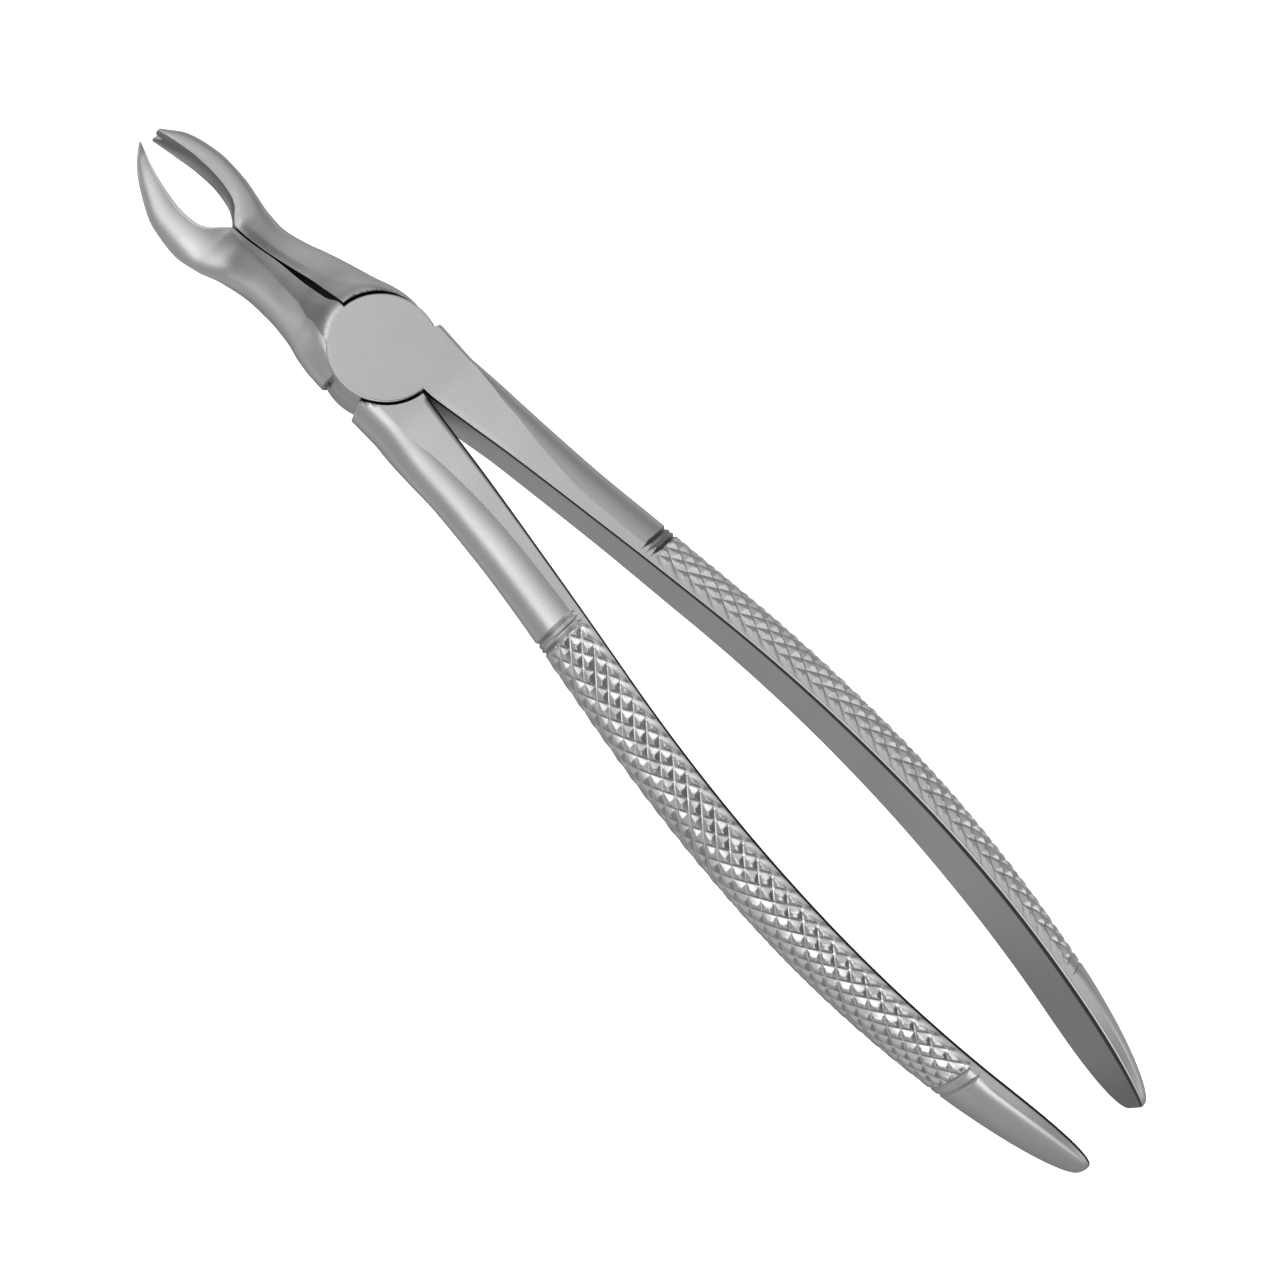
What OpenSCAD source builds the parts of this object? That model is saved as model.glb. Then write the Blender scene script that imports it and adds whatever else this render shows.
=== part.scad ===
// Extraction forceps for upper molars: two crossed halves turning on a rivet in a lap joint.
// +X runs to the beaks, +Z along the rivet from the back face of the joint to its front face.
// The front half has the pointed beak on +Y, the back half has the two-pronged beak on -Y.

/* [Joint] */
// Thickness of the closed joint, back face to front face
joint_t = 7.6; // [7:0.1:9]
// Radius of the lap disc on each half
disc_r = 7.15; // [6.8:0.05:7.4]
// Gap between the two lap faces
lap_gap = 0.06; // [0.04:0.01:0.2]
// Gap between a disc's rim and the shoulder around it
rim_gap = 0.25; // [0.15:0.05:0.4]
// Gap between the two halves along the middle, closed
split_gap = 0.3; // [0.2:0.05:0.5]
// Angle from +X at which a jaw's shoulder ends
jaw_end_angle = 77; // [70:1:78]
// Angle from +X at which the front half's handle begins
front_handle_angle = 107; // [106:1:112]
// Angle from +X at which the back half's handle begins
back_handle_angle = 114; // [110:1:118]

/* [Rivet] */
// Radius of the rivet's shank
rivet_r = 2.3; // [1.8:0.1:2.8]
// Radius of the rivet's head, sunk into the back half
head_r = 3.4; // [3:0.1:4]
// Height of the rivet's head
head_t = 1.4; // [1:0.1:1.8]
// Clearance of the rivet in the back half, at the radius and under the head
rivet_gap = 0.04; // [0.02:0.01:0.08]

/* [Handles] */
// Distance from the rivet's axis to the end of the handles
handle_end = 133.2; // [130:0.5:140]
// Distance from the rivet's axis to the widest place of the bow
bow_at = 88; // [84:1:92]
// Distance from the middle to a handle's inner face at the widest place
bow_half = 9.65; // [9:0.05:11]
// Radius of the bow on the side of the joint
bow_r_front = 240; // [220:5:260]
// Radius of the bow on the side of the end
bow_r_end = 183; // [175:1:200]
// Slope of the straight stretch between the joint and the bow
neck_slope = 0.155; // [0.15:0.001:0.16]
// Thickness of a handle just behind the joint, inner face to outer side
grip_t_neck = 7.9; // [7:0.1:8.2]
// Thickness of a handle in the middle of the grip
grip_t_mid = 5.7; // [5:0.1:6.5]
// Height of a handle at the widest place of the grip
grip_h = 12.6; // [11:0.1:14]
// Width of the flat band along a handle's inner edge, in the grip
band_w = 1.3; // [0.8:0.1:2]
// Distance from the rivet's axis to the two grooves before the grip
groove_front = 40.1; // [38:0.1:44]
// Distance from the rivet's axis to the two grooves behind the grip
groove_end = 113.2; // [110:0.1:116]
// Distance between the two grooves of a pair
groove_pitch = 1.4; // [1.2:0.1:2]
// Depth of a groove
groove_depth = 0.35; // [0.2:0.05:0.5]

/* [Beaks] */
// Distance from the rivet's axis to the tips of the beaks
tip_at = 42.8; // [41:0.1:45]
// Distance from the rivet's axis to the root of the beaks, where the gap for the tooth begins
root_at = 26.8; // [26:0.1:28]
// Height of the tips' middle, below the joint's back face
tip_drop = 4.6; // [3:0.1:6]
// Distance between the two tips of a closed pair
tip_open = 2; // [1.5:0.1:3]
// Depth of the relief in the pointed jaw's inner face, in front of the joint, from the middle
relief = 0.8; // [0.3:0.1:1.2]
// Hollow of the pointed beak, measured from the middle
claw_hollow = 3.4; // [3:0.1:4]
// Hollow of the two-pronged beak, measured from the middle
fork_hollow = 2.9; // [2.5:0.1:3.4]
// How far the upper prong ends behind the lower one
prong_lean = 0.8; // [0:0.1:1.6]
// Distance between the two prongs
prong_pitch = 4.3; // [4:0.1:5]
// Depth of the notch between the two prongs
notch_depth = 1; // [0.8:0.1:3]

/* [Hidden] */
$fn = 96;
over = 1;
half_gap = split_gap / 2;
lap_z = joint_t / 2;
steel = [0.72, 0.72, 0.72];
arc_steps = 12;
squareness = 2.3;
tip_r = 0.35;

// Distance over which a handle's end is rounded off, and the share of its size left at the very end
end_round = 16;
end_left = 0.28;

// Handle's thickness, bottom, top and flat band against the distance from the rivet's axis
grip_t = [
    [0, grip_t_neck + 0.3], [11, grip_t_neck], [20, 7], [32, 6.3], [45, 6.1],
    [80, grip_t_mid], [100, 5.1], [113, 4.5], [122, 3.9], [134, 3.4]
];
grip_bottom = [
    [0, 0], [8, 0], [14, 1.2], [20, 2.1], [34, 2.3], [48, 1.6], [65, 0.6],
    [82, -0.6], [100, 10.8 - grip_h], [115, 10.4 - grip_h], [134, 10.1 - grip_h]
];
grip_top = [
    [0, joint_t], [8, joint_t], [14, 8.2], [21, 9.1], [30, 9.7], [45, 10.3],
    [75, 10.6], [100, 10.8], [118, 10.5], [134, 10]
];
grip_band = [[0, 5.2], [10, 5], [20, 3.6], [30, 2.5], [40, 1.9], [50, band_w], [134, band_w]];

// Neck of both jaws: bottom and top against the distance from the rivet's axis
neck_bottom = [[0, 0], [4, 0], [8, -0.7], [12, -3], [16, -5.6], [20, -7.9], [24, -9.5]];
neck_top = [[0, joint_t], [7, joint_t], [11.5, 5.4], [15.7, 2.6], [20, -0.4]];

// Pointed beak: inner side, outer side, bottom and top
claw_in = [
    [0, half_gap], [disc_r + 0.6, half_gap], [9.6, relief], [12, relief], [20, half_gap],
    [root_at - 0.6, half_gap], [root_at + 0.4, 1], [root_at + 1.8, 2.5], [root_at + 3.4, 3.2],
    [root_at + 5.6, claw_hollow], [36, 3.05], [39, 2.4], [41.4, 1.55], [tip_at, tip_open / 2]
];
claw_out = [
    [0, 8.2], [4, 8.1], [6.5, 7.7], [9.5, 6.8], [14, 5.8], [18.5, 5.3], [22.5, 5.7],
    [25.6, 6.8], [29.4, 7.5], [33.4, 7.15], [37.8, 5.4], [40.8, 3.45], [tip_at, tip_open / 2 + tip_r]
];
claw_bottom = concat(neck_bottom, [
    [28, -9.9], [32, -9.2], [36, -8], [39.5, -6.6], [tip_at, -tip_drop - tip_r]
]);
claw_top = concat(neck_top, [
    [22.3, -1.8], [24.3, -2.75], [26.3, -3.35], [29, -3.85], [33, -4.05], [38, -3.8], [41, -3.9],
    [tip_at, -tip_drop + tip_r]
]);

// Two-pronged beak: inner side, outer side, bottom and top
fork_in = [
    [0, half_gap], [root_at - 0.6, half_gap], [root_at + 0.4, 0.8], [root_at + 1.8, 2.1],
    [root_at + 3.4, 2.7], [root_at + 5.6, fork_hollow], [36, 2.55], [39, 1.9], [tip_at, tip_open / 2]
];
fork_out = [
    [0, 8.1], [3, 8.1], [5.5, 7.7], [8.3, 6.95], [11.5, 6.5], [15.2, 5.95], [18.7, 5.35], [22, 5.05],
    [25, 5.35], [28, 5.8], [31, 6.1], [34, 5.95], [37.3, 5.2], [40, 4.15],
    [tip_at, tip_open / 2 + 2 * tip_r]
];
fork_bottom = concat(neck_bottom, [
    [27, -9.3], [30, -8.3], [34, -7.5], [39.5, -7.2],
    [tip_at, -tip_drop - prong_pitch / 2 - tip_r]
]);
fork_top = concat(neck_top, [
    [22.5, -1.8], [24.5, -2.7], [26.5, -3.3], [30, -3.4], [34, -2.8], [38, -2.1], [41, -1.9],
    [tip_at, -tip_drop + prong_pitch / 2 + tip_r]
]);
jaw_band = [[0, 5], [6, 4.6], [12, 2.6], [20, 1.6], [27, 1.2], [35, 0.9], [tip_at, 0.1]];

// Smooth curve through stations [distance, value], with a Hermite cubic between each two
function at(c, x) = let (
    last = len(c) - 1,
    t = min(max(x, c[0][0]), c[last][0]),
    i = max([for (k = [0 : last - 1]) if (c[k][0] <= t) k]),
    a = c[i],
    b = c[i + 1],
    w = b[0] - a[0],
    u = (t - a[0]) / w,
    sa = slope(c, i) * w,
    sb = slope(c, i + 1) * w
) a[1] * (1 + 2 * u) * pow(1 - u, 2) + sa * u * pow(1 - u, 2)
    + b[1] * u * u * (3 - 2 * u) - sb * u * u * (1 - u);

// Slope of a station list at station i: the gentler of its two chords, and none at a turning point
function slope(c, i) = let (
    last = len(c) - 1,
    before = i == 0 ? chord(c, 0) : chord(c, i - 1),
    after = i == last ? chord(c, last - 1) : chord(c, i)
) before * after <= 0 ? 0 : 2 * before * after / (before + after);
function chord(c, i) = (c[i + 1][1] - c[i][1]) / (c[i + 1][0] - c[i][0]);

function power(v, e) = sign(v) * pow(abs(v), e);

// D-shaped section: flat inner side, flat band at the top and bottom, round outer side
function section(x, y0, y1, z0, z1, band) = let (
    flat = min(band, 0.7 * (y1 - y0)),
    mid = (z0 + z1) / 2,
    half = (z1 - z0) / 2,
    e = 2 / squareness
) concat(
    [[x, y0, z0], [x, y0, z1]],
    [for (k = [0 : arc_steps]) let (t = 90 - 180 * k / arc_steps)
        [x, y0 + flat + (y1 - y0 - flat) * power(cos(t), e), mid + half * power(sin(t), e)]]
);

// Solid through a list of sections with the same number of points
module loft(rings) {
    n = len(rings[0]);
    points = [for (ring = rings) each ring];
    start = [for (k = [n - 1 : -1 : 0]) k];
    end = [for (k = [0 : n - 1]) (len(rings) - 1) * n + k];
    sides = [for (r = [0 : len(rings) - 2], k = [0 : n - 1]) let (
        a = r * n + k,
        b = r * n + (k + 1) % n
    ) each [[a, b, b + n], [a, b + n, a + n]]];
    polyhedron(points = points, faces = concat([start], sides, [end]), convexity = 6);
}

// Inner face of a handle: straight behind the joint, then an arc on each side of the widest place
function grip_in(d) = let (
    bend_at = bow_at - neck_slope * bow_r_front,
    bend_y = bow_half - pow(bow_at - bend_at, 2) / (2 * bow_r_front)
) d < bend_at ? max(half_gap, bend_y - neck_slope * (bend_at - d))
    : bow_half - pow(d - bow_at, 2) / (2 * (d < bow_at ? bow_r_front : bow_r_end));

// Share of a handle's size left at distance d, where its end is rounded off
function end_share(d) = let (u = max(0, d - (handle_end - end_round)) / end_round)
    end_left + (1 - end_left) * sqrt(max(0, 1 - pow(u, 2.4)));

// Depth of the grooves at distance d
function groove(d) = let (
    seats = [for (g = [groove_front, groove_end], k = [0, 1]) g + k * groove_pitch],
    near = min([for (s = seats) abs(d - s)])
) near < 0.01 ? groove_depth : 0;

function grip_section(d) = let (
    share = end_share(d),
    t = at(grip_t, d),
    z0 = at(grip_bottom, d),
    z1 = at(grip_top, d),
    y_mid = grip_in(d) + t * 0.45,
    z_mid = (z0 + z1) / 2,
    y0 = y_mid - t * 0.45 * share,
    y1 = y_mid + t * 0.55 * share
) section(-d, y0, y1 - groove(d), z_mid - (z_mid - z0) * share + groove(d) / 2,
    z_mid + (z1 - z_mid) * share - groove(d) / 2, at(grip_band, d) * share);

// Distances at which a handle has a section: even steps, closer at the grooves and at the end
grip_steps = concat(
    [2, 5, 8, 11, 15, 20, 25, 30, 35],
    [for (k = [-1 : 3]) groove_front + k * groove_pitch / 2],
    [for (d = [47 : 6 : 108]) d],
    [for (k = [-1 : 3]) groove_end + k * groove_pitch / 2],
    [119, 122, 125, 127.5, 129.5, 131, 132.2, 133, handle_end]
);

module handle() {
    loft([for (k = [len(grip_steps) - 1 : -1 : 0]) grip_section(grip_steps[k])]);
}

// Shift of a point of the beak towards the joint, which grows to lean at the top of the tip
function lean_back(p, lean) = let (
    low = -tip_drop - prong_pitch / 2,
    near = min(max((p[0] - 34) / (tip_at - 34), 0), 1)
) [p[0] - lean * near * max(p[2] - low, 0) / prong_pitch, p[1], p[2]];

// Drop of a jaw's top with the distance from the rivet's axis, near the disc
function round_top(p, top, low, high) = let (
    r = norm([p[0], p[1]]),
    u = min(max((p[0] - 8) / 14, 0), 1),
    drop = at(top, p[0] + (r - p[0]) * (1 - u * u * (3 - 2 * u))) - high
) [p[0], p[1], p[2] + drop * (p[2] - low) / (high - low)];

module jaw(inner, outer, bottom, top, lean = 0) {
    steps = concat([for (x = [1 : 1.6 : root_at - 1.5]) x],
        [for (k = [-0.8 : 0.8 : 6]) root_at + k], [for (x = [34 : 1.5 : tip_at - 0.8]) x], [tip_at]);
    loft([for (x = steps) let (
        low = at(bottom, x),
        high = at(top, x),
        ring = section(x, at(inner, x), at(outer, x), low, high, at(jaw_band, x))
    ) [for (p = ring) lean_back(round_top(p, top, low, high), lean)]]);
}

// Wedge of the free rim between two angles, through the full thickness
module rim_wedge(from, to) {
    reach = 4 * disc_r;
    translate([0, 0, -over])
        linear_extrude(joint_t + 4 * over)
            polygon([[0, 0], reach * [cos(from), sin(from)], reach * [cos(to), sin(to)]]);
}

module pointed_jaw() {
    difference() {
        jaw(claw_in, claw_out, claw_bottom, claw_top);
        rim_wedge(jaw_end_angle, 110);
    }
}

module notch() {
    wide = prong_pitch / 2;
    translate([tip_at - notch_depth, 0, -tip_drop])
        rotate([90, 0, 0])
            linear_extrude(24, center = true)
                union() {
                    circle(0.4, $fn = 24);
                    polygon([[0, 0.4], [0, -0.4], [notch_depth + over, -wide], [notch_depth + over, wide]]);
                }
}

module forked_jaw() {
    difference() {
        jaw(fork_in, fork_out, fork_bottom, fork_top, prong_lean);
        rim_wedge(jaw_end_angle, 110);
        notch();
    }
}

module front_half() {
    color(steel)
        difference() {
            union() {
                translate([0, 0, lap_z + lap_gap / 2])
                    cylinder(h = joint_t / 2 - lap_gap / 2, r = disc_r);
                difference() {
                    union() {
                        pointed_jaw();
                        mirror([0, 1, 0])
                            difference() {
                                handle();
                                rim_wedge(70, front_handle_angle);
                            }
                    }
                    translate([0, 0, -over])
                        cylinder(h = over + lap_z + lap_gap / 2, r = disc_r + rim_gap);
                }
            }
            translate([0, 0, lap_z])
                cylinder(h = joint_t, r = rivet_r);
        }
}

module back_half() {
    color(steel)
        difference() {
            union() {
                cylinder(h = joint_t / 2 - lap_gap / 2, r = disc_r);
                difference() {
                    union() {
                        mirror([0, 1, 0])
                            forked_jaw();
                        difference() {
                            handle();
                            rim_wedge(70, back_handle_angle);
                        }
                    }
                    translate([0, 0, lap_z - lap_gap / 2])
                        cylinder(h = joint_t, r = disc_r + rim_gap);
                }
            }
            translate([0, 0, -over])
                cylinder(h = joint_t, r = rivet_r + rivet_gap);
            translate([0, 0, -over])
                cylinder(h = over + head_t + rivet_gap, r = head_r + rivet_gap);
        }
}

module joint_rivet() {
    color(steel)
        union() {
            cylinder(h = joint_t, r = rivet_r);
            cylinder(h = head_t, r = head_r);
        }
}

front_half();
back_half();
joint_rivet();
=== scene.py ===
import math

import bpy
import numpy as np
from mathutils import Matrix, Vector
from mathutils.kdtree import KDTree


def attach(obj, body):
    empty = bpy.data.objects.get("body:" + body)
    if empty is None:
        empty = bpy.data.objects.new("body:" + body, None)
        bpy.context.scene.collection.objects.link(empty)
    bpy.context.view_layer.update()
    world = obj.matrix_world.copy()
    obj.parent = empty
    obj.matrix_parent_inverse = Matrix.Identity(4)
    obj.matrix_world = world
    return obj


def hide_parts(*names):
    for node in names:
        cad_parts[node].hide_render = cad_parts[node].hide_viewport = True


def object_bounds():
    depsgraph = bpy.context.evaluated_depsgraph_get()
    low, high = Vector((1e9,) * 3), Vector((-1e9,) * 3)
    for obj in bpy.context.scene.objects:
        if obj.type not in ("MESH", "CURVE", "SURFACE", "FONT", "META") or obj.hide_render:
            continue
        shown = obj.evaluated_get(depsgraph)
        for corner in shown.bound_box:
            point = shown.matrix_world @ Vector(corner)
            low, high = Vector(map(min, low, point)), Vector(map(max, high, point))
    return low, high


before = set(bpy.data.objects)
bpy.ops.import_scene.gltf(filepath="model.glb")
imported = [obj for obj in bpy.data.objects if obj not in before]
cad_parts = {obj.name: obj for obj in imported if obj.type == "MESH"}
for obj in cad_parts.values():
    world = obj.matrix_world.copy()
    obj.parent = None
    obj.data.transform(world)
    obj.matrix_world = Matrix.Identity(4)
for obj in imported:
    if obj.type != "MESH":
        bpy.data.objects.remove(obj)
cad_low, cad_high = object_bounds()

MM = 0.001

# ---------------------------------------------------------------- sizes, in mm, as in the CAD part
# GRIP_TOP at 100 and CLAW_BOTTOM at 28 are 0.01 and 0.02 short of the part's, so that this finer
# mesh stays inside the part's box.
JOINT_T = 7.6
DISC_R = 7.15
LAP_GAP = 0.06
RIM_GAP = 0.25
HALF_GAP = 0.15
JAW_END_ANGLE = 77
FRONT_HANDLE_ANGLE = 107
BACK_HANDLE_ANGLE = 114
RIVET_R, HEAD_R, HEAD_T, RIVET_GAP = 2.3, 3.4, 1.4, 0.04
RIVET_EDGE_AT, RIVET_TOP, BORE_TOP = 6.95, 7.05, 7.1
HANDLE_END, END_ROUND, END_LEFT = 133.2, 16, 0.28
BOW_AT, BOW_HALF, BOW_R_FRONT, BOW_R_END, NECK_SLOPE = 88, 9.65, 240, 183, 0.155
GRIP_H = 12.6
GROOVES = ((40.1, 0.34), (40.8, 0.2), (41.5, 0.36), (113.2, 0.3), (114.6, 0.34))
TIP_AT, ROOT_AT, TIP_DROP, TIP_OPEN, TIP_R = 42.8, 26.8, 4.6, 2.0, 0.35
PRONG_LEAN, PRONG_PITCH, NOTCH_DEPTH = 0.8, 4.3, 1
SQUARENESS = 2.3
INNER_SHARE, OUTER_SHARE = 0.45, 0.55    # a handle's thickness on either side of its middle
ROUND_STEPS = 144          # mesh steps round the discs and the rivet
OFF_SIDE = -9.0            # stands for the arc distance of points that aren't on the outer side

# Stations [distance from the rivet's axis, value]
GRIP_T = [[0, 8.2], [11, 7.9], [20, 7], [32, 6.3], [45, 6.1], [80, 5.7], [100, 5.1],
          [113, 4.5], [122, 3.9], [134, 3.4]]
GRIP_BOTTOM = [[0, 0], [8, 0], [14, 1.2], [20, 2.1], [34, 2.3], [48, 1.6], [65, 0.6],
               [82, -0.6], [100, 10.8 - GRIP_H], [115, 10.4 - GRIP_H], [134, 10.1 - GRIP_H]]
GRIP_TOP = [[0, JOINT_T], [8, JOINT_T], [14, 8.2], [21, 9.1], [30, 9.7], [45, 10.3],
            [75, 10.6], [100, 10.79], [118, 10.5], [134, 10]]
GRIP_BAND_END = [[30, 1.85], [40, 1.4], [50, 1.2], [100, 1.2], [116, 1.5], [134, 1.1]]
FRONT_BAND = [[0, 7.2], [8, 7], [12, 6.1], [15, 5.2], [18, 4.5], [21, 3.6],
              [25, 2.7]] + GRIP_BAND_END
BACK_BAND = [[0, 5.6], [8, 5.4], [11, 5], [15, 3.9], [20, 3], [25, 2.3]] + GRIP_BAND_END
NECK_BOTTOM = [[0, 0], [4, 0], [8, -0.7], [12, -3], [16, -5.6], [20, -7.9], [24, -9.5]]
NECK_TOP = [[0, JOINT_T], [7, JOINT_T], [11.5, 5.4], [15.7, 2.6], [20, -0.4]]
CLAW_IN = [[0, HALF_GAP], [DISC_R + 0.6, HALF_GAP], [9.6, 0.8], [12, 0.8], [20, HALF_GAP],
           [ROOT_AT - 0.6, HALF_GAP], [ROOT_AT + 0.4, 1], [ROOT_AT + 1.8, 2.5],
           [ROOT_AT + 3.4, 3.2], [ROOT_AT + 5.6, 3.4], [36, 3.05], [39, 2.4], [41.4, 1.55],
           [TIP_AT, TIP_OPEN / 2]]
CLAW_OUT = [[0, 8.2], [4, 8.1], [6.5, 7.7], [9.5, 6.8], [14, 5.8], [18.5, 5.3], [22.5, 5.7],
            [25.6, 6.8], [29.4, 7.5], [33.4, 7.15], [37.8, 5.4], [40.8, 3.45],
            [TIP_AT, TIP_OPEN / 2 + TIP_R]]
CLAW_BOTTOM = NECK_BOTTOM + [[28, -9.88], [32, -9.2], [36, -8], [39.5, -6.6],
                             [TIP_AT, -TIP_DROP - TIP_R]]
CLAW_TOP = NECK_TOP + [[22.3, -1.8], [24.3, -2.75], [26.3, -3.35], [29, -3.85], [33, -4.05],
                       [38, -3.8], [41, -3.9], [TIP_AT, -TIP_DROP + TIP_R]]
FORK_IN = [[0, HALF_GAP], [ROOT_AT - 0.6, HALF_GAP], [ROOT_AT + 0.4, 0.8],
           [ROOT_AT + 1.8, 2.1], [ROOT_AT + 3.4, 2.7], [ROOT_AT + 5.6, 2.9], [36, 2.55],
           [39, 1.9], [TIP_AT, TIP_OPEN / 2]]
FORK_OUT = [[0, 8.1], [3, 8.1], [5.5, 7.7], [8.3, 6.95], [11.5, 6.5], [15.2, 5.95],
            [18.7, 5.35], [22, 5.05], [25, 5.35], [28, 5.8], [31, 6.1], [34, 5.95],
            [37.3, 5.2], [40, 4.15], [TIP_AT, TIP_OPEN / 2 + 2 * TIP_R]]
FORK_BOTTOM = NECK_BOTTOM + [[27, -9.3], [30, -8.3], [34, -7.5], [39.5, -7.2],
                             [TIP_AT, -TIP_DROP - PRONG_PITCH / 2 - TIP_R]]
FORK_TOP = NECK_TOP + [[22.5, -1.8], [24.5, -2.7], [26.5, -3.3], [30, -3.4], [34, -2.8],
                       [38, -2.1], [41, -1.9], [TIP_AT, -TIP_DROP + PRONG_PITCH / 2 + TIP_R]]
CLAW_BAND = [[0, 5], [6, 4.6], [12, 2.4], [20, 1.4], [26, 0.5], [35, 0.4], [TIP_AT, 0.1]]
FORK_BAND = [[0, 5], [6, 4.2], [12, 1.4], [18, 1], [22, 1], [26, 1], [30, 0.8], [36, 0.6],
             [TIP_AT, 0.1]]

# Knurl: crossing V cuts on the round side of each handle
KNURL_FROM, KNURL_TO = 42.0, 112.8
KNURL_PITCH = 2.7          # along the handle
STEPS = 14                 # mesh steps in one pitch
DIAMONDS = 7               # diamonds round the outer side
CUT_DEPTH = 0.36
OUTER_STEPS = STEPS * DIAMONDS

# Painted light and shade that the material reads from two marks: the first lightens (+) or darkens
# (-) the colour, the edge mark paints shade that blackens it from 0 to 1
END_SHADE, TIP_SHADE = 0.36, 0.25                # painted shade, added on a handle's inner face towards its end
NECK_SHADE, SEAM_SHADE = 0.85, 0.95              # painted shade between the necks, and in the seam round the discs
SEAM_MID, SEAM_HALF = 0.07, 0.09               # where the seam's painted shade lies on the flared wall
# Shade across a beak's hollow inner face, from its back edge to its front edge
HOLLOW_SHADE = np.array([0.1, 0.15, 0.2, 0.5, 0.66, 0.62, 0.56, 0.46, 0.4, 0.36, 0.3])

# ---------------------------------------------------------------- light and camera, in metres
# Light around the X axis, across the handles and towards the beaks' and the handles' side:
# [angle from +Z towards +Y in degrees, strength]
AROUND = [[-180, 0.24], [-165, 0.26], [-140, 0.38], [-120, 0.48], [-106, 0.46], [-94, 0.37],
          [-84, 0.30], [-72, 0.32], [-60, 0.43], [-50, 0.53], [-38, 0.60], [-26, 0.60],
          [-12, 0.56], [-3, 0.40], [4, 0.26], [13, 0.26], [18, 0.60], [24, 0.9], [30, 1.1],
          [36, 1.25], [48, 1.25], [54, 0.9], [60, 0.46], [100, 0.43], [125, 0.54], [150, 0.42],
          [165, 0.3], [180, 0.24]]
FRONT_END = [[-180, 0.3], [-155, 0.4], [-130, 0.68], [-112, 0.7], [-100, 0.57], [-88, 0.5],
             [-76, 0.48], [-60, 0.4], [-45, 0.36], [-32, 0.28], [-12, 0.19], [24, 0.16],
             [36, 0.26], [50, 0.44], [62, 0.38], [76, 0.4], [88, 0.62], [100, 0.76], [130, 0.8],
             [150, 0.5], [180, 0.3]]
BACK_END = [[-180, 0.3], [-120, 0.4], [-84, 0.5], [-64, 0.85], [-40, 0.85], [-24, 0.3],
            [4, 0.22], [20, 0.5], [34, 1.0], [56, 1.0], [66, 0.5], [110, 0.42], [180, 0.3]]
BACKDROP = 1.0
LIGHT_CENTRE, LIGHT_DISTANCE = Vector((-0.045, 0, 0)), 0.9
FLOOR_HALF, FLOOR_GAP = 3.0, 0.0001
CAMERA_AT = Vector((-0.05285, 0.09354, 0.28800))
# The camera's right, up and back
CAMERA_AXES = ((-0.6830, -0.6974, 0.2171), (0.7302, -0.6456, 0.2237), (-0.0159, 0.3113, 0.9502))


# ---------------------------------------------------------------- curves and sections
def curve(stations, x):
    """Hermite cubic through stations. A station's slope is the harmonic mean of the slopes of
    its two chords, and 0 where they differ in sign."""
    s = np.array(stations, float)
    px, pv = s[:, 0], s[:, 1]
    chord = np.diff(pv) / np.diff(px)
    before, after = np.r_[chord[0], chord], np.r_[chord, chord[-1]]
    total = np.where(before + after == 0, 1, before + after)
    slope = np.where(before * after <= 0, 0, 2 * before * after / total)
    t = np.clip(np.asarray(x, float), px[0], px[-1])
    i = np.clip(np.searchsorted(px, t, side="right") - 1, 0, len(px) - 2)
    w = px[i + 1] - px[i]
    u = (t - px[i]) / w
    return (pv[i] * (1 + 2 * u) * (1 - u) ** 2 + slope[i] * w * u * (1 - u) ** 2
            + pv[i + 1] * u * u * (3 - 2 * u) - slope[i + 1] * w * u * u * (1 - u))


def smooth(low, high, x):
    """0 up to low, 1 from high on, and a smooth step between."""
    u = np.clip((x - low) / (high - low), 0, 1)
    return u * u * (3 - 2 * u)


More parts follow.
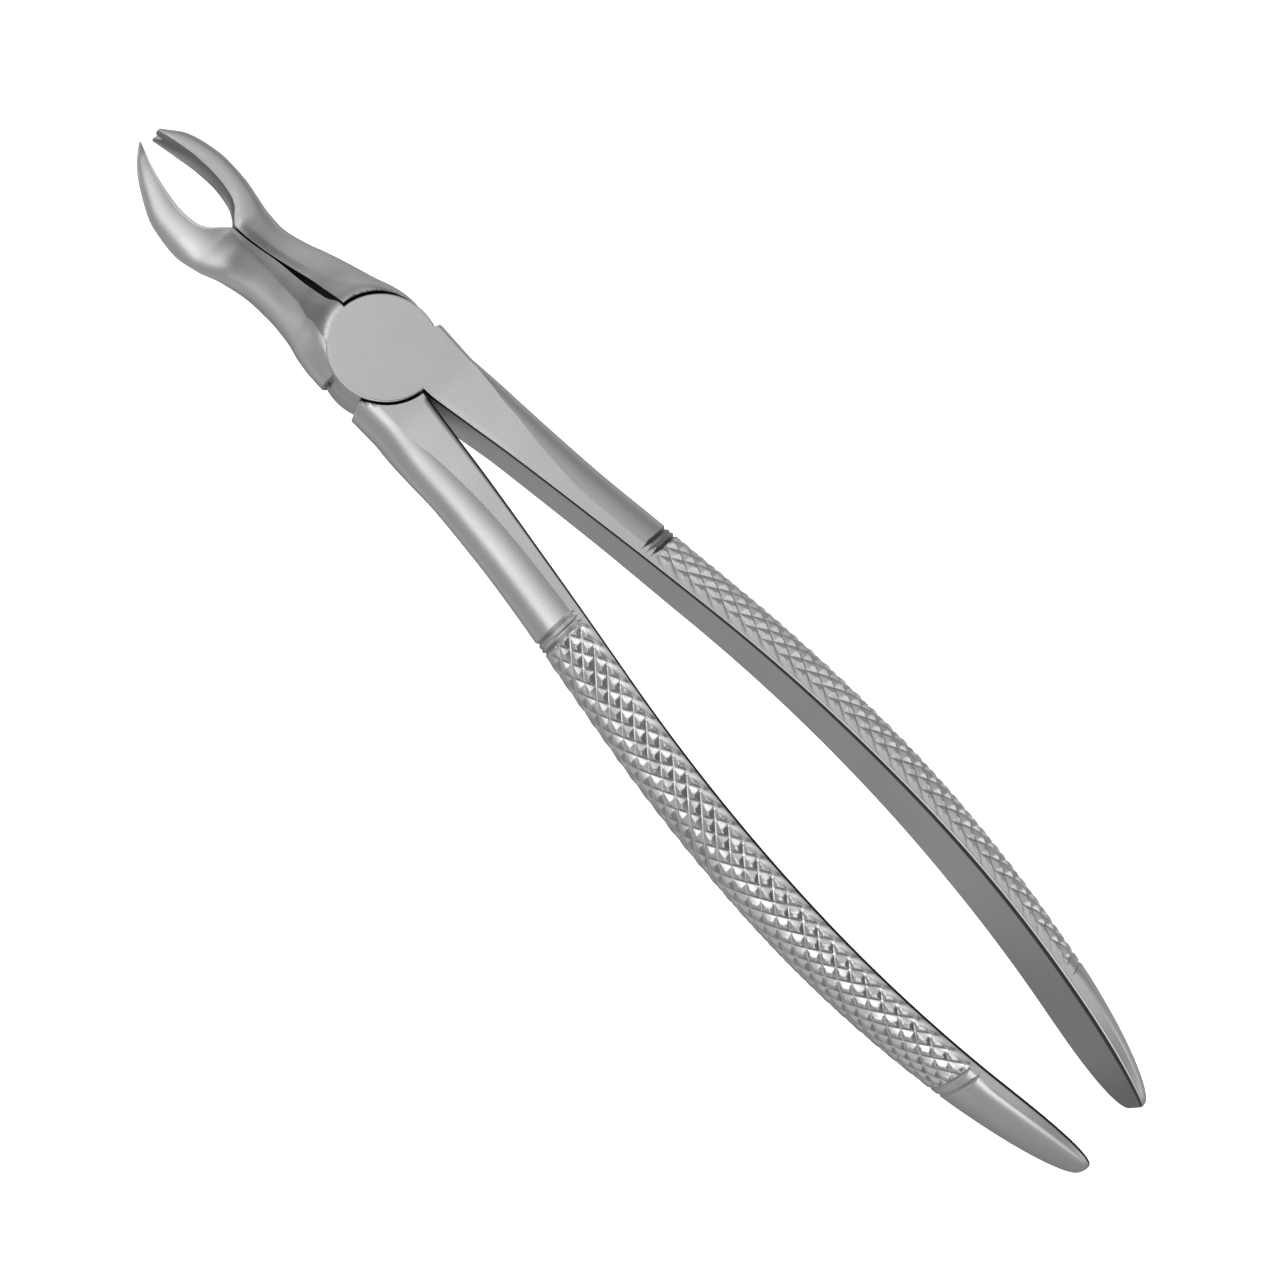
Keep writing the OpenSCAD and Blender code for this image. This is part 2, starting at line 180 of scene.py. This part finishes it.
def d_ring(y0, y1, z0, z1, band, corner, hollow, outer_steps, start, square, strips=6,
           least_edge=1):
    """One D-shaped section: flat inner side at y0, flat top and bottom bands, and an outer side
    that is a superellipse from start degrees. Returns its points, their arc distance from the
    top band's outer edge, the outer side's length, and an edge mark of painted shade: a black
    line along the top inner edge, at least least_edge on its rounded corner."""
    wide, high = y1 - y0, z1 - z0
    flat = min(band, 0.86 * wide)
    corner = min(corner, 0.8 * flat, 0.3 * high)
    mid, half = (z0 + z1) / 2, high / 2
    e = 2 / square
    t = np.radians(np.linspace(start, -start, 181))
    reach_y = (wide - flat) / (1 - math.cos(t[0]) ** e)
    reach_z = half / math.sin(t[0]) ** e
    arc = np.c_[y1 - reach_y * (1 - np.cos(t) ** e),
                mid + reach_z * np.sign(t) * np.abs(np.sin(t)) ** e]
    length = np.r_[0, np.cumsum(np.hypot(*np.diff(arc, axis=0).T))]
    s = np.linspace(0, length[-1], outer_steps + 1)
    outer = np.c_[np.interp(s, length, arc[:, 0]), np.interp(s, length, arc[:, 1])]
    u = np.array([-1, -0.94, -0.88, -0.85, -0.55, -0.25, 0, 0.25, 0.55, 0.85, 0.88, 0.94, 1])
    inner = np.c_[y0 + hollow * (1 - u * u), mid + u * (half - corner)]
    turn = np.radians(np.arange(172.5, 89, -7.5))
    top_corner = np.c_[y0 + corner * (1 + np.cos(turn)), z1 - corner * (1 - np.sin(turn))]
    strip = np.linspace(y0 + corner, y0 + flat, strips + 2)[1:-1]
    upper = np.r_[top_corner, np.c_[strip, np.full(strips, z1)]]
    low_strip = strip[1::2]
    lower = np.r_[top_corner, np.c_[low_strip, np.full(len(low_strip), z1)]]
    lower = lower[::-1] * [1, -1] + [0, 2 * mid]
    points = np.r_[inner, upper, outer, lower]
    along = np.full(len(points), OFF_SIDE)
    first = len(inner) + len(upper)
    last = first + outer_steps + 1
    along[first:last] = s
    along[first - strips:first] = strip - (y0 + flat)
    along[last:last + len(low_strip)] = s[-1] + (y0 + flat) - low_strip[::-1]
    # Painted shade: the top inner edge and its rounded corner are blackened as a dark line.
    edge = np.zeros(len(points))
    edge[len(inner) - 3:len(inner)] = 1
    edge[len(inner):first - strips] = np.clip((157 - np.degrees(turn)) / -14 + 1, least_edge, 1)
    return points, along, s[-1], edge


def loft(name, rings, ends=None):
    """Closed solid through rings of the same number of points, in mm, as an object in metres.
    Its caps meet at the two ends, or else at the middles of the first and the last ring."""
    rings = np.asarray(rings, float)
    count, n = rings.shape[:2]
    if ends is None:
        ends = [rings[0].mean(0), rings[-1].mean(0)]
    points = np.r_[rings.reshape(-1, 3), ends] * MM
    k = np.arange(n)
    a = (np.arange(count - 1)[:, None] * n + k).ravel()
    b = (np.arange(count - 1)[:, None] * n + (k + 1) % n).ravel()
    quads = np.c_[a, b, b + n, a + n]
    last = (count - 1) * n
    caps = np.r_[np.c_[np.full(n, count * n), (k + 1) % n, k],
                 np.c_[np.full(n, count * n + 1), last + k, last + (k + 1) % n]]
    tris = np.r_[quads[:, [0, 1, 2]], quads[:, [0, 2, 3]], caps]
    volume = np.einsum("ij,ij->i", points[tris[:, 0]],
                       np.cross(points[tris[:, 1]], points[tris[:, 2]])).sum()
    faces = quads.tolist() + caps.tolist()
    if volume < 0:
        faces = [f[::-1] for f in faces]
    return new_object(name, points, faces)


def new_object(name, points, faces):
    mesh = bpy.data.meshes.new(name)
    mesh.from_pydata([tuple(p) for p in points], [], faces)
    obj = bpy.data.objects.new(name, mesh)
    bpy.context.scene.collection.objects.link(obj)
    return obj


def turned(name, profile):
    """Solid turned about Z from a profile [(radius, z), ...] that starts and ends on the axis."""
    angles = np.linspace(0, 2 * np.pi, ROUND_STEPS, endpoint=False)
    rings = [np.c_[r * np.cos(angles), r * np.sin(angles), np.full(ROUND_STEPS, z)]
             for r, z in profile[1:-1]]
    return loft(name, rings, [[0, 0, profile[0][1]], [0, 0, profile[-1][1]]])


def prism(name, outline, z0, z1):
    """Upright prism over an outline [(x, y), ...] in mm."""
    n = len(outline)
    points = np.array([(x, y, z) for z in (z0, z1) for x, y in outline], float) * MM
    area = sum(outline[i][0] * outline[(i + 1) % n][1] - outline[(i + 1) % n][0] * outline[i][1]
               for i in range(n))
    order = list(range(n)) if area > 0 else list(range(n))[::-1]
    faces = [[order[i], order[(i + 1) % n], order[(i + 1) % n] + n, order[i] + n]
             for i in range(n)]
    faces += [order[::-1], [i + n for i in order]]
    return new_object(name, points, faces)


def combine(base, other, operation):
    """Boolean of two objects into base's mesh; other is removed."""
    mod = base.modifiers.new("b", "BOOLEAN")
    mod.operation, mod.object, mod.solver = operation, other, "MANIFOLD"
    graph = bpy.context.evaluated_depsgraph_get()
    mesh = bpy.data.meshes.new_from_object(base.evaluated_get(graph))
    base.modifiers.clear()
    old, gone = base.data, other.data
    base.data = mesh
    bpy.data.meshes.remove(old)
    bpy.data.objects.remove(other)
    bpy.data.meshes.remove(gone)


# ---------------------------------------------------------------- handle
def grip_in(d):
    """Distance of a handle's inner face from the plane between the handles: a straight neck,
    then two arcs that meet where the bow is widest."""
    bend_at = BOW_AT - NECK_SLOPE * BOW_R_FRONT
    bend_y = BOW_HALF - (BOW_AT - bend_at) ** 2 / (2 * BOW_R_FRONT)
    if d < bend_at:
        return max(HALF_GAP, bend_y - NECK_SLOPE * (bend_at - d))
    return BOW_HALF - (d - BOW_AT) ** 2 / (2 * (BOW_R_FRONT if d < BOW_AT else BOW_R_END))


def end_share(d):
    """Part of the full section that is left at distance d, where the end is rounded."""
    u = max(0, d - (HANDLE_END - END_ROUND)) / END_ROUND
    return END_LEFT + (1 - END_LEFT) * math.sqrt(max(0, 1 - u ** 2.4))


def cut_depth(d, along, length, line_depths, painted_shades):
    """Depth of the knurl and of the ring grooves at distance d for each point of a section, and
    its mark of painted light and shade. The last argument holds the painted lightening (+) or
    darkening (-) of (inner wall, outer wall, bottom) for each of the two families of cuts, then
    the painted shade of the grooves."""
    edge = np.minimum(along, length - along)
    i = (d - KNURL_FROM) / (KNURL_PITCH / STEPS)
    j = along / (length / OUTER_STEPS)
    depth, painted_shading = np.zeros_like(along), np.zeros_like(along)
    if KNURL_FROM - 0.4 < d < KNURL_TO + 0.3:
        narrow = 1 - 0.4 * smooth(60, 95, d)
        part = smooth(KNURL_FROM - 0.4, KNURL_FROM + 0.2, d)
        part = part * (1 - smooth(KNURL_TO - 0.2, KNURL_TO + 0.3, d))
        part = part * (1 - 0.65 * smooth(0.25, 0.6, along / length))
        for phase, way, fade_from, steps_in, steps_out, (inner, outer, painted_line_shade) in (
                ((i - j) / STEPS, -1, -0.3, narrow * 7, narrow * 7.5, painted_shades[0]),
                ((i + j) / STEPS, 1, -1.1, 3, 8, painted_shades[1])):
            line = np.round(phase)
            off = (phase - line) * way * STEPS
            full = line_depths[(line.astype(int) * 7 + 400) % len(line_depths)]
            wide = np.where(off > 0, steps_out, steps_in)
            cut = CUT_DEPTH * part * smooth(fade_from, 0.7, edge) * (full - np.abs(off) / wide)
            # Painted light and shade: one wall of each cut lighter, the other darker, the bottom
            # lighter or darker.
            wall = np.where(np.abs(off) < 0.6, painted_line_shade, np.where(off > 0, outer, inner))
            wall = wall * np.clip(cut / 0.06, 0, 1)
            painted_shading = np.where(cut > np.maximum(depth, 0), wall, painted_shading)
            depth = np.maximum(depth, cut)
        painted_shading = painted_shading * (1 - 0.8 * smooth(0.3, 0.5, along / length))
    for at, deep in GROOVES:
        cut = deep * (smooth(-0.9, 1.2, edge) - abs(d - at) / 0.36)
        # Painted shade in the ring grooves, weaker in the two near the handle's end.
        painted_shading = np.where(cut > np.maximum(depth, 0), painted_shades[2] * (1 if at < 100 else 0.3), painted_shading)
        depth = np.maximum(depth, cut)
    return np.maximum(depth, 0), painted_shading


def handle(name, side, start, square, band, painted_shades):
    """Handle on +Y (side 1) or -Y (side -1), its points, and their painted light and shade marks.
    """
    stations = np.r_[np.arange(2, 39.4, 0.8), np.arange(39.6, KNURL_FROM - 0.1, 0.1),
                     np.arange(KNURL_FROM, KNURL_TO, KNURL_PITCH / STEPS),
                     np.arange(KNURL_TO + 0.1, KNURL_TO + 2.4, 0.1)]
    rest = np.arange(stations[-1] + 0.4, HANDLE_END - 4, 0.65)
    tip = HANDLE_END - (HANDLE_END - rest[-1]) * (1 - np.sin(np.linspace(0, np.pi / 2, 22)[1:]))
    stations = np.r_[stations, rest, tip]
    rng = np.random.default_rng(7)
    line_depths = rng.uniform(0.86, 1.06, 97)
    rings, marks = [], []
    for d in stations:
        share = end_share(d)
        t, z0, z1 = curve(GRIP_T, d), curve(GRIP_BOTTOM, d), curve(GRIP_TOP, d)
        y_mid, z_mid = grip_in(d) + t * INNER_SHARE, (z0 + z1) / 2
        points, along, length, edge = d_ring(
            y_mid - t * INNER_SHARE * share, y_mid + t * OUTER_SHARE * share,
            z_mid - (z_mid - z0) * share, z_mid + (z1 - z_mid) * share, curve(band, d) * share,
            0.25 + 0.1 * smooth(40, 80, d), 0, OUTER_STEPS,
            start + (68 - start) * smooth(36, 44, d) + 16 * smooth(111, 118, d), square,
            least_edge=(side + 1) / 2)
        # Painted shade: the inner face darkens towards the handle's end.
        edge[:10] = END_SHADE * smooth(96, 118, d) + TIP_SHADE * smooth(124, 132, d)
        depth, painted_shading = cut_depth(d, along, length, line_depths, painted_shades)
        tangent = np.roll(points, -1, 0) - np.roll(points, 1, 0)
        normal = np.c_[-tangent[:, 1], tangent[:, 0]]
        normal /= np.linalg.norm(normal, axis=1)[:, None]
        points = points - depth[:, None] * normal
        rings.append(np.c_[np.full(len(points), -d), side * points[:, 0], points[:, 1]])
        marks.append(np.c_[painted_shading, edge])
    for share in (0.8, 0.5, 0.2):
        centre = rings[-1].mean(0)
        rings.append(centre + (rings[-1] - centre) * share)
        marks.append(marks[-1] * 0)
    return loft(name, rings), np.concatenate(rings), np.concatenate(marks)


# ---------------------------------------------------------------- jaws
def jaw(side, inner, outer, bottom, top, band, lean, start, beak_start, square, sculpt):
    """Jaw on +Y (side 1) or -Y (side -1), its points, and their marks of painted shade. Its top
    falls off round the disc, and lean sets how far its tip slants back towards the top."""
    stations = np.r_[np.arange(1, ROOT_AT - 2, 0.33), np.arange(ROOT_AT - 2, 38, 0.33),
                     TIP_AT - 4.8 * (1 - np.sin(np.linspace(0, np.pi / 2, 30)[1:]))]
    rings, marks = [], []
    for x in stations:
        beak = smooth(17, 28, x)
        deep = 0.7 * smooth(ROOT_AT, ROOT_AT + 5, x) * (1 - smooth(TIP_AT - 6, TIP_AT, x))
        low, high = curve(bottom, x), curve(top, x)
        points, along, length, edge = d_ring(
            curve(inner, x), curve(outer, x), low, high, curve(band, x), 0.1, deep, 88,
            start + (beak_start - start) * beak, SQUARENESS + (square - SQUARENESS) * beak, 26)
        radius = np.hypot(x, points[:, 0])
        fall = curve(top, x + (radius - x) * (1 - smooth(8, 22, x))) - high
        fall = fall + sculpt(x, points[:, 0], radius)
        points[:, 1] += fall * np.clip((points[:, 1] - low) / (high - low), 0, 1)
        near = np.clip((x - 34) / (TIP_AT - 34), 0, 1)
        rise = np.maximum(points[:, 1] + TIP_DROP + PRONG_PITCH / 2, 0) / PRONG_PITCH
        rings.append(np.c_[x - lean * near * rise, side * points[:, 0], points[:, 1]])
        # Painted shade on the inner face: dark between the necks, shaded across the beak's hollow.
        wall = np.zeros(len(points))
        hollow = smooth(ROOT_AT - 1, ROOT_AT + 1, x)
        wall[1:12] = NECK_SHADE + (HOLLOW_SHADE - NECK_SHADE) * hollow
        marks.append(np.c_[wall * 0, wall])
    return loft("beak", rings), np.concatenate(rings), np.concatenate(marks)


def claw_sculpt(x, y, radius):
    """Step down from the disc's plane to the jaw's flank, and the valley along the neck."""
    angle = np.degrees(np.arctan2(y, x))
    width = np.interp(angle, [20, 26, 33, 41, 55, 70, 78], [5.5, 4.8, 3.8, 2.9, 1.1, 0.5, 0.3])
    drop = np.interp(angle, [12, 30, 45, 90], [0, 0.25, 0.5, 0.5]) * (1 - smooth(9, 15, x))
    step = -drop * np.clip((radius - 7.2) / width, 0, 1)
    middle = np.interp(x, [8, 10.8, 12.2, 15, 18, 27], [6.6, 5.2, 4.2, 3.2, 2.8, 2.6])
    across = np.clip(np.abs(y - middle) / 1.9, 0, 1)
    neck = smooth(8, 14, x) * (1 - smooth(22, 26, x))
    return step - neck * (0.15 * (1 - across ** 2) ** 2 + 0.07 * np.minimum(y, 4))


def fork_sculpt(x, y, radius):
    """Gentle step down from the disc's plane, and the neck's inner edge dressed off."""
    step = -0.15 * np.clip((radius - 8.2) / 1.5, 0, 1) * (1 - smooth(8, 14, x))
    return step - 0.22 * smooth(12, 17, x) * (1 - smooth(24, 27, x)) * (1 - smooth(0.1, 1.5, y))


def wedge(start, end):
    """Upright cutter over the sector from start to end, in degrees, about the rivet's axis."""
    reach = 30
    outline = [(0, 0)] + [(reach * math.cos(math.radians(a)), reach * math.sin(math.radians(a)))
                          for a in (start, end)]
    return prism("wedge", outline, -3, 14)


def notch():
    """V between the two prongs, through the beak along Y."""
    half = PRONG_PITCH / 2
    root = TIP_AT - NOTCH_DEPTH
    root_r, half_length = 0.4, 12
    arc = [(root - root_r * math.sin(a), root_r * math.cos(a))
           for a in np.linspace(0, math.pi, 13)]
    outline = arc + [(TIP_AT + 1, -half), (TIP_AT + 1, half)]
    obj = prism("notch", outline, -half_length, half_length)
    obj.data.transform(Matrix.Translation((0, 0, -TIP_DROP * MM))
                       @ Matrix.Rotation(math.radians(90), 4, "X"))
    return obj


# ---------------------------------------------------------------- the two halves and the rivet
def disc(z_lap, z_face):
    """Lap disc from its lap face to its outer face, with softened rims."""
    way = 1 if z_face > z_lap else -1
    r, c, f = DISC_R, 0.08, 0.28
    profile = [(0, z_lap), (2, z_lap), (4.5, z_lap), (r - c, z_lap), (r, z_lap + way * c)]
    profile += [(r, z_face - way * f)]
    profile += [(r - f * (1 - math.cos(a)), z_face - way * f * (1 - math.sin(a)))
                for a in np.radians(np.arange(7.5, 91, 7.5))]
    profile += [(x, z_face) for x in np.arange(6.4, 0.3, -0.45)] + [(0, z_face)]
    return turned("disc", profile)


def shoulder_cutter(z_lap, z_face):
    """Room for the other half's disc, flared where it opens on the outer face."""
    way = 1 if z_face > z_lap else -1
    r, f = DISC_R + RIM_GAP, 0.22
    profile = [(0, z_lap), (3, z_lap), (r, z_lap), (r, z_face - way * f)]
    profile += [(r + f * (1 - math.cos(a)), z_face - way * f * (1 - math.sin(a)))
                for a in np.radians(np.arange(7.5, 91, 7.5))]
    profile += [(r + f, z_face + way * 3), (0, z_face + way * 3)]
    return turned("shoulder", profile)


def front_half():
    # The last argument paints light and shade on the knurl's walls and bottoms and in the grooves.
    solid, points, marks = handle("front_half_body", -1, 72, 2.3, FRONT_BAND,
                                  ((-0.1, 1, -1), (0.5, 0.2, -0.5), -1))
    combine(solid, wedge(-70, -FRONT_HANDLE_ANGLE), "DIFFERENCE")
    beak, more_points, more_marks = jaw(1, CLAW_IN, CLAW_OUT, CLAW_BOTTOM, CLAW_TOP, CLAW_BAND,
                                        0, 74, 61, 1.68, claw_sculpt)
    combine(beak, wedge(JAW_END_ANGLE, 110), "DIFFERENCE")
    combine(solid, beak, "UNION")
    z_lap = (JOINT_T + LAP_GAP) / 2
    combine(solid, shoulder_cutter(z_lap, 0), "DIFFERENCE")
    combine(solid, disc(z_lap, JOINT_T), "UNION")
    bore = [(0, 3), (RIVET_R, 3), (RIVET_R, BORE_TOP), (0, BORE_TOP)]
    combine(solid, turned("bore", bore), "DIFFERENCE")
    keep_painted_shading(solid, np.r_[points, more_points], np.r_[marks, more_marks], -1)
    return solid


def back_half():
    # The last argument paints light and shade on the knurl's walls and bottoms and in the grooves.
    solid, points, marks = handle("back_half_body", 1, 64, 2.1, BACK_BAND,
                                  ((0.1, -0.9, 0.9), (-0.9, 1, -1), -0.3))
    combine(solid, wedge(70, BACK_HANDLE_ANGLE), "DIFFERENCE")
    beak, more_points, more_marks = jaw(-1, FORK_IN, FORK_OUT, FORK_BOTTOM, FORK_TOP, FORK_BAND,
                                        PRONG_LEAN, 80, 87, 2.9, fork_sculpt)
    combine(beak, wedge(-JAW_END_ANGLE, -110), "DIFFERENCE")
    combine(beak, notch(), "DIFFERENCE")
    combine(solid, beak, "UNION")
    z_lap = (JOINT_T - LAP_GAP) / 2
    combine(solid, shoulder_cutter(z_lap, JOINT_T), "DIFFERENCE")
    combine(solid, disc(z_lap, 0), "UNION")
    shank, head = RIVET_R + RIVET_GAP, HEAD_R + RIVET_GAP
    bore = [(0, -1), (head + 0.12, -1), (head + 0.12, 0), (head, 0.12),
            (head, HEAD_T + RIVET_GAP), (shank, HEAD_T + RIVET_GAP), (shank, 5), (0, 5)]
    combine(solid, turned("bore", bore), "DIFFERENCE")
    keep_painted_shading(solid, np.r_[points, more_points], np.r_[marks, more_marks], 1)
    return solid


def rivet():
    head = [(0, 0), (1.2, 0), (2.2, 0), (HEAD_R - 0.12, 0), (HEAD_R - 0.035, 0.035),
            (HEAD_R, 0.12), (HEAD_R, HEAD_T)]
    shank = [(RIVET_R, HEAD_T), (RIVET_R, RIVET_EDGE_AT), (RIVET_R - 0.1, RIVET_TOP),
             (0, RIVET_TOP)]
    return turned("joint_rivet_body", head + shank)


# ---------------------------------------------------------------- finish of a piece
def finish_piece(obj, node, body, angle, material):
    """Shading with edges sharp from angle degrees, the material, and what the piece stands for."""
    mesh = obj.data
    mesh.shade_smooth()
    mesh.set_sharp_from_angle(angle=math.radians(angle))
    mesh.materials.clear()
    mesh.materials.append(material)
    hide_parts(node)
    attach(obj, body)


def keep_painted_shading(obj, points, marks, way):
    """Gives the vertices their marks of painted light and shade again after the booleans, as
    attributes, and paints shade on the wall round the other half's disc, as a dark seam. That
    wall is in front of the lap faces (way 1) or behind them (way -1)."""
    keep = np.flatnonzero(np.abs(marks).max(1) > 0)
    tree = KDTree(len(keep))
    for n, k in enumerate(keep):
        tree.insert(points[k] * MM, n)
    tree.balance()
    values = np.zeros((len(obj.data.vertices), 2), np.float32)
    for v in obj.data.vertices:
        _, n, gap = tree.find(v.co)
        if gap < 2e-6:
            values[v.index] = marks[keep[n]]
        # Painted shade: a dark seam on the wall round the other half's disc.
        off_rim = math.hypot(v.co.x, v.co.y) / MM - DISC_R - RIM_GAP
        if abs(off_rim - SEAM_MID) < SEAM_HALF and way * (v.co.z / MM - JOINT_T / 2) > -0.05:
            values[v.index] = (0, SEAM_SHADE)
    for column, name in enumerate(("painted_shading", "edge")):
        attribute = obj.data.attributes.new(name, "FLOAT", "POINT")
        attribute.data.foreach_set("value", values[:, column].copy())


# ---------------------------------------------------------------- nodes and material
def remap(nodes, links, source, start, end, way="LINEAR"):
    """The source's value taken from the range start to the range end."""
    node = nodes.new("ShaderNodeMapRange")
    node.interpolation_type = way
    for name, value in zip(("From Min", "From Max", "To Min", "To Max"), (*start, *end)):
        node.inputs[name].default_value = value
    links.new(source, node.inputs["Value"])
    return node.outputs["Result"]


def noise(nodes, links, where, scale, detail):
    node = nodes.new("ShaderNodeTexNoise")
    node.inputs["Scale"].default_value = scale
    node.inputs["Detail"].default_value = detail
    links.new(where, node.inputs["Vector"])
    return node.outputs["Fac"]


def attribute(nodes, name):
    node = nodes.new("ShaderNodeAttribute")
    node.attribute_name = name
    return node.outputs["Fac"]


def product(nodes, links, first, second):
    node = nodes.new("ShaderNodeMath")
    node.operation = "MULTIPLY"
    links.new(first, node.inputs[0])
    links.new(second, node.inputs[1])
    return node.outputs["Value"]


def satin_steel():
    """Satin steel: cloudy polish in its colour, fine grain in its roughness and bump, and the
    painted light and shade of the mesh's marks in its colour."""
    mat = bpy.data.materials.new("satin_steel")
    mat.use_nodes = True
    nodes, links = mat.node_tree.nodes, mat.node_tree.links
    shader = nodes["Principled BSDF"]
    shader.inputs["Metallic"].default_value = 1.0

    where = nodes.new("ShaderNodeTexCoord").outputs["Object"]
    cloud = noise(nodes, links, where, 90, 4)
    grain = noise(nodes, links, where, 5200, 2)

    polish = remap(nodes, links, cloud, (0.3, 0.7), (0.585, 0.635))
    # Painted light and shade: the mesh's marks lighten, darken or blacken the base colour.
    painted_shading = remap(nodes, links, attribute(nodes, "painted_shading"), (-1, 1), (0.45, 1.55))
    edge = remap(nodes, links, attribute(nodes, "edge"), (0, 1), (1, 0.04))
    value = product(nodes, links, product(nodes, links, polish, painted_shading), edge)
    colour = nodes.new("ShaderNodeCombineColor")
    for channel in ("Red", "Green", "Blue"):
        links.new(value, colour.inputs[channel])
    links.new(colour.outputs["Color"], shader.inputs["Base Color"])
    links.new(remap(nodes, links, grain, (0.3, 0.7), (0.25, 0.32)), shader.inputs["Roughness"])

    bump = nodes.new("ShaderNodeBump")
    bump.inputs["Strength"].default_value = 0.06
    bump.inputs["Distance"].default_value = 0.00002
    links.new(grain, bump.inputs["Height"])
    links.new(bump.outputs["Normal"], shader.inputs["Normal"])
    return mat


# ---------------------------------------------------------------- stage, light and camera
def floor(height):
    points = [(x * FLOOR_HALF, y * FLOOR_HALF, height)
              for x, y in ((-1, -1), (1, -1), (1, 1), (-1, 1))]
    obj = new_object("floor", points, [[0, 1, 2, 3]])
    mat = bpy.data.materials.new("pale_floor")
    mat.use_nodes = True
    shader = mat.node_tree.nodes["Principled BSDF"]
    shader.inputs["Base Color"].default_value = (0.9, 0.9, 0.9, 1)
    shader.inputs["Roughness"].default_value = 0.9
    shader.inputs["Specular IOR Level"].default_value = 0.1
    shader.inputs["Emission Color"].default_value = (1, 1, 1, 1)
    shader.inputs["Emission Strength"].default_value = 1.0
    obj.data.materials.append(mat)
    obj.visible_glossy = False


def soft_box(name, direction, size, power):
    """Area light of size metres that faces the middle of the instrument from a direction."""
    light = bpy.data.lights.new(name, "AREA")
    light.shape = "RECTANGLE"
    light.size, light.size_y = size
    light.energy = power
    obj = bpy.data.objects.new(name, light)
    away = Vector(direction).normalized()
    obj.location = LIGHT_CENTRE + away * LIGHT_DISTANCE
    obj.rotation_mode = "QUATERNION"
    obj.rotation_quaternion = away.to_track_quat("Z", "Y")
    bpy.context.scene.collection.objects.link(obj)


def light_ramp(nodes, links, share, stops):
    """Strength by the angle's share of a full turn."""
    ramp = nodes.new("ShaderNodeValToRGB")
    links.new(share, ramp.inputs["Fac"])
    elements = ramp.color_ramp.elements
    for angle, _ in stops[1:-1]:
        elements.new(angle / 360 + 0.5)
    for element, (angle, value) in zip(elements, stops):
        element.position = angle / 360 + 0.5
        element.color = (value, value, value, 1)
    return ramp.outputs["Color"]


def mix(nodes, links, factor, first, second):
    """Mix of two strengths. The second may be a plain number."""
    node = nodes.new("ShaderNodeMix")
    node.data_type = "FLOAT"
    links.new(factor, node.inputs[0])
    links.new(first, node.inputs[2])
    if isinstance(second, float):
        node.inputs[3].default_value = second
    else:
        links.new(second, node.inputs[3])
    return node.outputs[0]


def studio():
    """Soft light by direction round the X axis, other towards either end, and three soft boxes."""
    world = bpy.data.worlds.new("studio")
    bpy.context.scene.world = world
    world.use_nodes = True
    nodes, links = world.node_tree.nodes, world.node_tree.links
    split = nodes.new("ShaderNodeSeparateXYZ")
    links.new(nodes.new("ShaderNodeTexCoord").outputs["Generated"], split.inputs["Vector"])
    turn = nodes.new("ShaderNodeMath")
    turn.operation = "ARCTAN2"
    links.new(split.outputs["Y"], turn.inputs[0])
    links.new(split.outputs["Z"], turn.inputs[1])
    share = remap(nodes, links, turn.outputs["Value"], (-math.pi, math.pi), (0, 1))

    light = light_ramp(nodes, links, share, AROUND)
    for stops, start, end in ((FRONT_END, 0.52, 0.9), (BACK_END, -0.25, -0.6)):
        near = remap(nodes, links, split.outputs["X"], (start, end), (0, 1), "SMOOTHSTEP")
        light = mix(nodes, links, near, light, light_ramp(nodes, links, share, stops))
    # The steps of the light stay out of the view: the camera sees a plain backdrop
    camera_ray = nodes.new("ShaderNodeLightPath").outputs["Is Camera Ray"]
    light = mix(nodes, links, camera_ray, light, BACKDROP)
    links.new(light, nodes["Background"].inputs["Strength"])
    nodes["Background"].inputs["Color"].default_value = (1, 1, 1, 1)

    soft_box("key", (-0.20, 0.66, 0.75), (1.0, 0.22), 0.30)
    soft_box("front", (0.47, -0.08, 0.88), (0.30, 0.30), 0.26)
    soft_box("top", (0.08, -0.31, 0.95), (1.0, 0.30), 0.21)


def camera():
    data = bpy.data.cameras.new("camera")
    data.sensor_width = 36
    data.lens = 67.33
    data.clip_start, data.clip_end = 0.01, 20
    obj = bpy.data.objects.new("camera", data)
    turn = Matrix(CAMERA_AXES).transposed()
    obj.matrix_world = Matrix.Translation(CAMERA_AT) @ turn.to_quaternion().to_matrix().to_4x4()
    bpy.context.scene.collection.objects.link(obj)
    bpy.context.scene.camera = obj


bpy.context.scene.view_settings.view_transform = "Standard"
steel = satin_steel()
finish_piece(front_half(), "front_half", "front", 9.5, steel)
finish_piece(back_half(), "back_half", "back", 9.5, steel)
finish_piece(rivet(), "joint_rivet", "front", 30, steel)
floor(cad_low.z - FLOOR_GAP)
studio()
camera()
